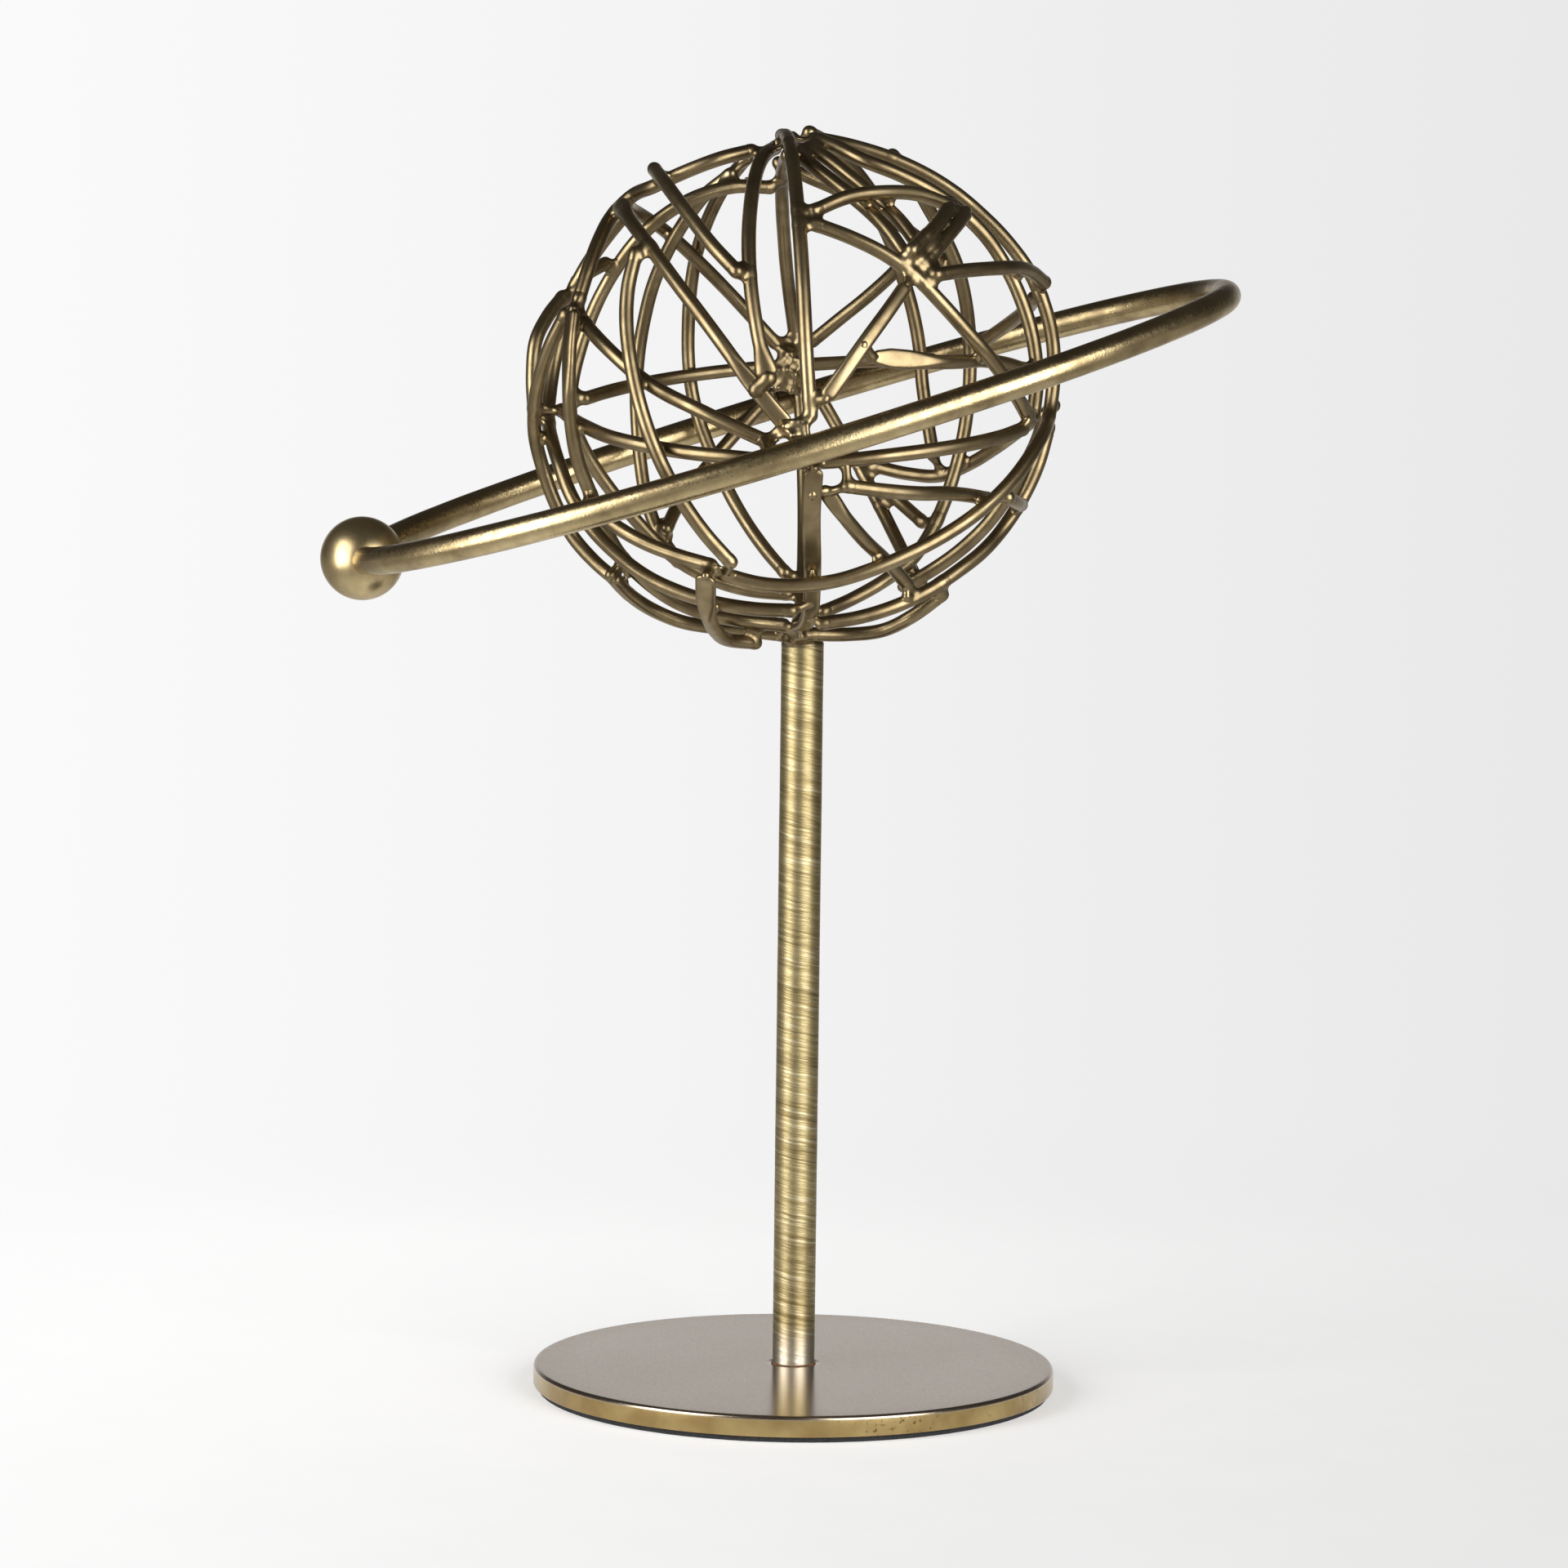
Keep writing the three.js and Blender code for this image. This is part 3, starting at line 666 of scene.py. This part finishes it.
def make_wire(name, line, seed):
    """One bent wire with rounded or hammered ends and a slightly uneven surface."""
    lengths = line_lengths(line)
    total = lengths[-1]
    places = rod_places(total, WIRE_RADIUS, LINE_STEP)
    centres = at_lengths(line, lengths, places)
    widths, heights = hammered(name, places / total)
    squareness = ROUND + 3 * np.clip(1 - heights, 0, 0.6)
    swelling = np.minimum(end_round(places, WIRE_RADIUS), end_round(total - places, WIRE_RADIUS))
    uneven = 1 + 0.015 * ripple(centres, 14 * MM, seed)
    out = centres - CAGE_CENTRE
    radii = WIRE_RADIUS * swelling * uneven
    verts, faces = swept_bar(centres, out, widths * radii, heights * radii, squareness, 24)
    return finish_piece(new_object(name + "_wire", verts, faces), WIRE_BRASS, [name])


# ---------------------------------------------------------------- weld metal
MELT = 1.1 * MM  # radius of the fillets that molten metal leaves in the corners between rods
MELT_GRAIN, SKIN_GRAIN = 0.32 * MM, 0.26 * MM  # voxels while the metal is melted, and of its final skin
TOUCHING = 0.9 * MM  # rods with less than this between them are welded where they cross
BRIDGED = 4.5 * MM  # a loose wire end is joined to the next wire over a gap of up to this
TIP_POINTS = 4  # a joint within this many points of a wire's end counts as a joint at its end
SUNK = 0.86  # share of the rod's radius to which a sleeve of weld metal shrinks at both its ends
# How thick a sleeve is in its middle, as a share of the rod's radius, and how far it reaches along
# the rod each way, in mm: at a joint with a wire's end, and where two wires only cross.
END_SWELL, END_REACH = (1.04, 1.1), (2.6, 3.8)
CROSSING_SWELL, CROSSING_REACH = 0.88, (1.4, 2.0)
RING_SWELL = 0.93
STRAY_BEADS = 0.2  # share of the joints at wire ends that have a stray bead
POLE_HEIGHT = 36 * MM  # joints further than this above or below the middle belong to a pole's weld
# The large lumps: how far the visible lump's middle lies from the CAD lump's and its half size, both
# in mm, and how many beads it is made of.
LUMPS = {
    "top_weld": ((0, 0, -0.5), (4, 4, 1.2), 6),
    "front_hub_weld": ((-0.4, 0.2, 0), (4.4, 2.4, 3.0), 16),
    "back_hub_weld": ((-3.2, -3, 0.5), (4.8, 3, 6.8), 44),
    "bottom_weld": ((0, 0, 0), (3, 3, 1.6), 6),
}
# Webs of weld metal: from a wire's end (0 the higher, -1 the lower) to the wire beside it, and
# their radius in mm.
WEBS = [
    ("lower_right_bar", 0, "front_lower_belt", 1.2),
    ("front_lower_right_brace", 0, "front_lower_strip", 1.2),
    ("left_hub_bow", -1, "ring", 1.8),
    ("left_hub_bow", -1, "front_left_diagonal", 1.3),
    ("front_top_left_bar", -1, "front_left_diagonal", 2.0),
    ("front_left_diagonal", -1, "front_meridian", 1.2),
    ("front_right_strut", -1, "front_meridian", 1.2),
    ("front_right_belt", 0, "front_right_strut", 1.5),
    ("front_left_spike", -1, "front_top_left_bar", 1.2),
]


def closest(line, other):
    """For each point of a line, the distance to another line and the place on it."""
    distances = np.linalg.norm(line[:, None] - other[None], axis=2)
    return distances.min(axis=1), distances.argmin(axis=1)


def meeting_places(lines, radii):
    """Where rods touch: (one rod, its point, the other rod, its point)."""
    names = list(lines)
    found = []
    for i, name in enumerate(names):
        for other in names[i + 1:]:
            gaps, places = closest(lines[name], lines[other])
            gaps = gaps - radii[name] - radii[other]
            near = np.concatenate([[False], gaps < TOUCHING, [False]])
            starts = np.flatnonzero(near[1:] & ~near[:-1])
            stops = np.flatnonzero(~near[1:] & near[:-1])
            for start, stop in zip(starts, stops):
                a = start + int(gaps[start:stop].argmin())
                found.append((name, a, other, int(places[a])))
    return found


def loose_ends(lines, radii, found):
    """Wire ends that stop a little short of the next wire: weld metal bridges what is left."""
    bridged = []
    for name, line in lines.items():
        if name == "ring":
            continue
        for tip in (0, len(line) - 1):
            near_tip = [
                meeting for meeting in found
                if (meeting[0] == name and abs(meeting[1] - tip) <= TIP_POINTS)
                or (meeting[2] == name and abs(meeting[3] - tip) <= TIP_POINTS)
            ]
            if near_tip:
                continue
            options = []
            for other, other_line in lines.items():
                if other == name:
                    continue
                gaps, places = closest(line[tip:tip + 1], other_line)
                options.append((gaps[0] - radii[name] - radii[other], other, int(places[0])))
            gap, other, place = min(options)
            if gap < BRIDGED:
                bridged.append((name, tip, other, place))
    return bridged


def capsule(centres, radii):
    """A closed bar round a middle line that ends in half balls past both its ends."""
    first, last = unit(centres[0] - centres[1]), unit(centres[-1] - centres[-2])
    turn = np.linspace(0.12, 0.5, 5) * np.pi
    reach = np.sin(turn)
    shrink = np.maximum(np.cos(turn), 0.05)
    before = centres[0] + first * (reach[::-1] * radii[0])[:, None]
    after = centres[-1] + last * (reach * radii[-1])[:, None]
    line = np.vstack([before, centres, after])
    sizes = np.concatenate([radii[0] * shrink[::-1], radii, radii[-1] * shrink])
    out = line - CAGE_CENTRE
    return swept_bar(line, out, sizes, sizes, np.full(len(line), ROUND), 16)


def stacked_discs(centres, radii):
    """A closed turned shape standing upright, MELT too large."""
    line = np.vstack([centres[0] - [0, 0, MELT], centres, centres[-1] + [0, 0, MELT]])
    sizes = np.concatenate([[radii[0]], radii + MELT, [radii[-1] * 0.6]])
    out = np.tile([0.0, -1.0, 0.0], (len(line), 1))
    return swept_bar(line, out, sizes, sizes, np.full(len(line), ROUND), 32)


def sleeve(line, place, radius, reach, swell):
    """Weld metal round a rod: thickest at the joint, and sunk into the rod at both its ends."""
    lengths = line_lengths(line)
    here = lengths[place]
    low, high = max(0.0, here - reach), min(lengths[-1], here + reach)
    places = np.linspace(low, high, 11)
    centres = at_lengths(line, lengths, places)
    away = np.abs(places - here) / reach
    shares = SUNK + (swell - SUNK) * np.cos(np.clip(away, 0, 1) * np.pi / 2)
    return capsule(centres, radius * shares + MELT)


def bead(centre, radius, source):
    """A rounded bead of weld metal."""
    shaper = bmesh.new()
    bmesh.ops.create_icosphere(shaper, subdivisions=2, radius=1)
    verts = np.array([vert.co[:] for vert in shaper.verts])
    faces = [tuple(vert.index for vert in face.verts) for face in shaper.faces]
    shaper.free()
    sizes = np.asarray(radius) * source.uniform(0.9, 1.1, 3) + MELT
    return verts * sizes + centre, faces


def thinned(name, place, lines):
    """How thin the weld metal's core has to be at a place of a wire: 1 where the wire is round."""
    height = hammered(name, place / (len(lines[name]) - 1))[1]
    return 1.0 if height > 0.97 else 0.85 * float(height)


def near_end(line, place):
    return not TIP_POINTS <= place < len(line) - TIP_POINTS


def joint_metal(meeting, lines, radii, source):
    """The weld of two rods: a sleeve on each, a bridge between them and sometimes a stray bead."""
    name, a, other, b = meeting
    p, q = lines[name][a], lines[other][b]
    ends = near_end(lines[name], a) or near_end(lines[other], b)
    swell = source.uniform(*END_SWELL) if ends else CROSSING_SWELL
    reach = source.uniform(*(END_REACH if ends else CROSSING_REACH)) * MM
    thick = radii[name] * thinned(name, a, lines)
    other_thick = radii[other] * thinned(other, b, lines)
    shapes = [sleeve(lines[name], a, thick, reach, swell)]
    shapes.append(sleeve(lines[other], b, other_thick, reach, RING_SWELL if other == "ring" else swell))
    way = q - p
    bridge = p + way * np.array([0, 0.5, 1])[:, None]
    shapes.append(capsule(bridge, np.array([0.7, 0.62, 0.7]) * WIRE_RADIUS + MELT))
    if ends and source.random() < STRAY_BEADS:
        contact = p + way * radii[name] / (radii[name] + radii[other])
        shift = source.normal(size=3) * 0.5 * WIRE_RADIUS
        shapes.append(bead(contact + shift, source.uniform(0.55, 0.8) * WIRE_RADIUS, source))
    return shapes


def lump_metal(node, source):
    """One of the large lumps: a core with beads melted onto it all round."""
    shift, half_size, beads = LUMPS[node]
    centre = middle(node) + np.array(shift) * MM
    size = np.array(half_size) * MM
    shapes = [bead(centre, size * 0.75, source)]
    for _ in range(beads):
        direction = unit(source.normal(size=3))
        shapes.append(bead(centre + direction * size * 0.8, source.uniform(0.5, 1.1) * MM, source))
    return shapes


def weld_group(point):
    """Which of the four lumps a joint belongs with."""
    away = point - CAGE_CENTRE
    if away[2] > POLE_HEIGHT:
        return "top_weld"
    if away[2] < -POLE_HEIGHT:
        return "bottom_weld"
    return "front_hub_weld" if away[1] < 0 else "back_hub_weld"


def melted(source_mesh, voxel, rounds):
    """One even skin round all of a mesh's closed shapes, with its creases smoothed."""
    raw = bpy.data.objects.new("raw_metal", source_mesh)
    bpy.context.scene.collection.objects.link(raw)
    remesh = raw.modifiers.new("melt", "REMESH")
    remesh.mode = "VOXEL"
    remesh.voxel_size = voxel
    smooth = raw.modifiers.new("smooth", "SMOOTH")
    smooth.factor = 0.5
    smooth.iterations = rounds
    mesh = bpy.data.meshes.new_from_object(raw.evaluated_get(bpy.context.evaluated_depsgraph_get()))
    bpy.data.objects.remove(raw)
    return mesh


def moved_outward(mesh, shift):
    """Moves each corner of a mesh along its normal; shift tells how far at each corner."""
    places = np.empty(len(mesh.vertices) * 3)
    mesh.vertices.foreach_get("co", places)
    normals = np.empty(len(mesh.vertices) * 3)
    mesh.vertex_normals.foreach_get("vector", normals)
    places, normals = places.reshape(-1, 3), normals.reshape(-1, 3)
    places = places + normals * shift(places)[:, None]
    mesh.vertices.foreach_set("co", places.ravel())
    mesh.update()


def fuse(name, shapes, seed):
    """Melts many closed shapes, all MELT too large, into one skin, and takes MELT off it again.

    Corners between the shapes stay filled with a fillet of about that radius.
    """
    verts, faces, count = [], [], 0
    for shape_verts, shape_faces in shapes:
        verts.append(shape_verts)
        faces += [tuple(index + count for index in face) for face in shape_faces]
        count += len(shape_verts)
    raw = new_object(name + "_raw", np.vstack(verts), faces)
    swollen = melted(raw.data, MELT_GRAIN, 4)
    bpy.data.objects.remove(raw)
    moved_outward(swollen, lambda places: np.full(len(places), -MELT))
    mesh = melted(swollen, SKIN_GRAIN, 6)
    moved_outward(mesh, lambda places: ripple(places, 3 * MM, seed) * 0.02 * MM + 0.03 * MM)
    mesh.name = name
    piece = bpy.data.objects.new(name, mesh)
    bpy.context.scene.collection.objects.link(piece)
    return piece


def foot_collar():
    """The collar of weld metal where the cage stands on the post."""
    heights = np.array([-1.6, -0.8, 0, 0.8, 1.8, 2.8, 3.4]) * MM + POST_TOP
    radii = np.array([4.8, 4.9, 4.95, 4.6, 3.9, 3.2, 2.4]) * MM
    return stacked_discs(np.stack([heights * 0, heights * 0, heights], axis=1), radii)


def make_welds(lines, radii):
    """All the weld metal, in one skin for each of the four lumps of the CAD model."""
    source = np.random.default_rng(11)
    found = meeting_places(lines, radii)
    found += loose_ends(lines, radii, found)
    groups = {node: lump_metal(node, source) for node in WELD_NODES}
    for meeting in found:
        groups[weld_group(lines[meeting[0]][meeting[1]])] += joint_metal(meeting, lines, radii, source)
    for name, tip, other, radius in WEBS:
        end = lines[name][tip]
        place = int(closest(lines[name][[tip]], lines[other])[1][0])
        way = (lines[other][place] - end) * np.array([0, 0.5, 1])[:, None]
        web = capsule(end + way, radius * np.array([1, 0.9, 1]) * MM + MELT)
        groups[weld_group(end)].append(web)
    groups["bottom_weld"].append(foot_collar())
    for i, node in enumerate(WELD_NODES):
        piece = fuse(node + "_metal", groups[node], 40 + i)
        finish_piece(piece, WELD_BRASS, [node])


# ---------------------------------------------------------------- assembly
make_base()
make_pad()
make_post()
make_foot_line()
frame["nodes"]["base_screw"].data.materials.clear()
frame["nodes"]["base_screw"].data.materials.append(STEEL)
RING_LINE = smooth_line(rod_line("ring", RING_RADIUS, RING_CORNERS), 1.0 * MM)
make_ring(RING_LINE)
make_ball()
LINES = {name: smooth_line(rod_line(name, WIRE_RADIUS, WIRE_CORNERS), LINE_STEP) for name in CAGE_WIRES}
for number, wire in enumerate(CAGE_WIRES):
    make_wire(wire, LINES[wire], 100 + 3 * number)
LINES["ring"] = RING_LINE
RADII = {name: WIRE_RADIUS for name in CAGE_WIRES}
RADII["ring"] = RING_RADIUS
make_welds(LINES, RADII)


# ---------------------------------------------------------------- floor, light and camera
def make_floor():
    """A pale disc that fades out into the pale surroundings. It glows as well, more on the left and
    towards the back: painted light that stands in for the lamps' light on it and washes out its shadow.
    """
    verts, faces = turned_mesh([(0, 0)] + [(radius, 0) for radius in np.linspace(0.05, 2.5, 50)], 128)
    floor = new_object("floor", verts - [0, 0, 0.02 * MM], faces)
    material, tree, shader, place = new_material("floor")
    speckle = noise(tree, place, 40, detail=2)
    tree.links.new(ramp(tree, speckle, [(0.3, (0.70, 0.70, 0.70)), (0.7, (0.72, 0.72, 0.72))]),
                   shader.inputs["Base Color"])
    shader.inputs["Roughness"].default_value = 0.9
    shader.inputs["Specular IOR Level"].default_value = 0.1
    distance = add(tree, "ShaderNodeVectorMath", {"operation": "LENGTH"})
    tree.links.new(place, distance.inputs[0])
    solid_to, gone_at = 0.07, 0.45
    fade = spread(tree, distance.outputs["Value"], solid_to, gone_at, 1.0, 0.0)
    tree.links.new(maths(tree, "POWER", fade, 1.5), shader.inputs["Alpha"])
    shader.inputs["Emission Color"].default_value = (1, 1, 1, 1)
    # Painted light: the floor glows, more on the left and towards the back.
    parts = add(tree, "ShaderNodeSeparateXYZ", Vector=place)
    glow = spread(tree, parts.outputs["X"], -0.17, 0.17, 0.46, 0.30)
    glow_to_back = spread(tree, parts.outputs["Y"], -0.19, 0.19, -0.12, 0.20)
    tree.links.new(maths(tree, "ADD", glow, glow_to_back), shader.inputs["Emission Strength"])
    floor.data.materials.append(material)


def make_world():
    """A pale surround. What the metal mirrors is a studio.

    It is dark at the sides and above, and pale below and behind.
    """
    world = bpy.data.worlds.new("studio")
    bpy.context.scene.world = world
    world.use_nodes = True
    tree = world.node_tree
    tree.nodes.clear()
    direction = add(tree, "ShaderNodeTexCoord").outputs["Generated"]
    parts = add(tree, "ShaderNodeSeparateXYZ", Vector=direction)
    studio = ramp(tree, spread(tree, parts.outputs["Z"], -1, 1, 0, 1), [
        (0.0, (0.42, 0.41, 0.40)), (0.45, (0.28, 0.27, 0.26)), (0.52, (0.10, 0.095, 0.09)),
        (0.70, (0.06, 0.055, 0.05)), (1.0, (0.06, 0.055, 0.05)),
    ])
    behind = spread(tree, parts.outputs["Y"], 0.78, 0.95, 0.0, 1.0)
    low = spread(tree, parts.outputs["Z"], 0.36, 0.22, 0.0, 1.0)
    studio = mixed(tree, maths(tree, "MULTIPLY", behind, low), studio, (0.76, 0.745, 0.73))
    greys = [(0.0, 0.957), (0.30, 0.921), (0.77, 0.838), (1.0, 0.81)]
    across = spread(tree, parts.outputs["X"], -0.17, 0.17, 0, 1)
    surround = ramp(tree, across, [(at, (grey,) * 3) for at, grey in greys])
    to_camera = add(tree, "ShaderNodeLightPath").outputs["Is Camera Ray"]
    colour = mixed(tree, to_camera, studio, surround)
    background = add(tree, "ShaderNodeBackground", Color=colour, Strength=1.0)
    output = add(tree, "ShaderNodeOutputWorld")
    tree.links.new(background.outputs["Background"], output.inputs["Surface"])


def softbox(name, azimuth, height, distance, width, tall, power):
    """An area light that faces the object. Azimuth 0 is in front, positive to the right."""
    light = bpy.data.lights.new(name, "AREA")
    light.shape = "RECTANGLE"
    light.size = width
    light.size_y = tall
    light.energy = power
    lamp = bpy.data.objects.new(name, light)
    angle = math.radians(azimuth)
    lamp.location = (distance * math.sin(angle), -distance * math.cos(angle), height)
    aim = Vector((0, 0, 0.15)) - lamp.location
    lamp.rotation_euler = aim.to_track_quat("-Z", "Y").to_euler()
    lamp.visible_camera = False
    bpy.context.scene.collection.objects.link(lamp)


def make_camera():
    """The camera, as high as the cage's middle and looking slightly down."""
    place = Vector((-3.84, -1093.6, 226.39)) * MM
    pitch = math.radians(4.513)
    roll = math.radians(0.719)
    forward = Vector((0, math.cos(pitch), -math.sin(pitch)))
    up = Vector((0, math.sin(pitch), math.cos(pitch)))
    right = Vector((1, 0, 0))
    rolled_right = right * math.cos(roll) + up * math.sin(roll)
    rolled_up = up * math.cos(roll) - right * math.sin(roll)
    data = bpy.data.cameras.new("camera")
    data.sensor_width = 36
    data.lens = 109.98
    camera = bpy.data.objects.new("camera", data)
    turn = Matrix((rolled_right, rolled_up, -forward)).transposed().to_4x4()
    camera.matrix_world = Matrix.Translation(place) @ turn
    bpy.context.scene.collection.objects.link(camera)
    bpy.context.scene.camera = camera


make_floor()
make_world()
softbox("left_softbox", azimuth=-55, height=0.35, distance=0.9, width=0.6, tall=0.9, power=10)
softbox("right_softbox", azimuth=37, height=0.35, distance=0.95, width=0.75, tall=0.9, power=11.5)
make_camera()
bpy.context.scene.view_settings.view_transform = "Standard"
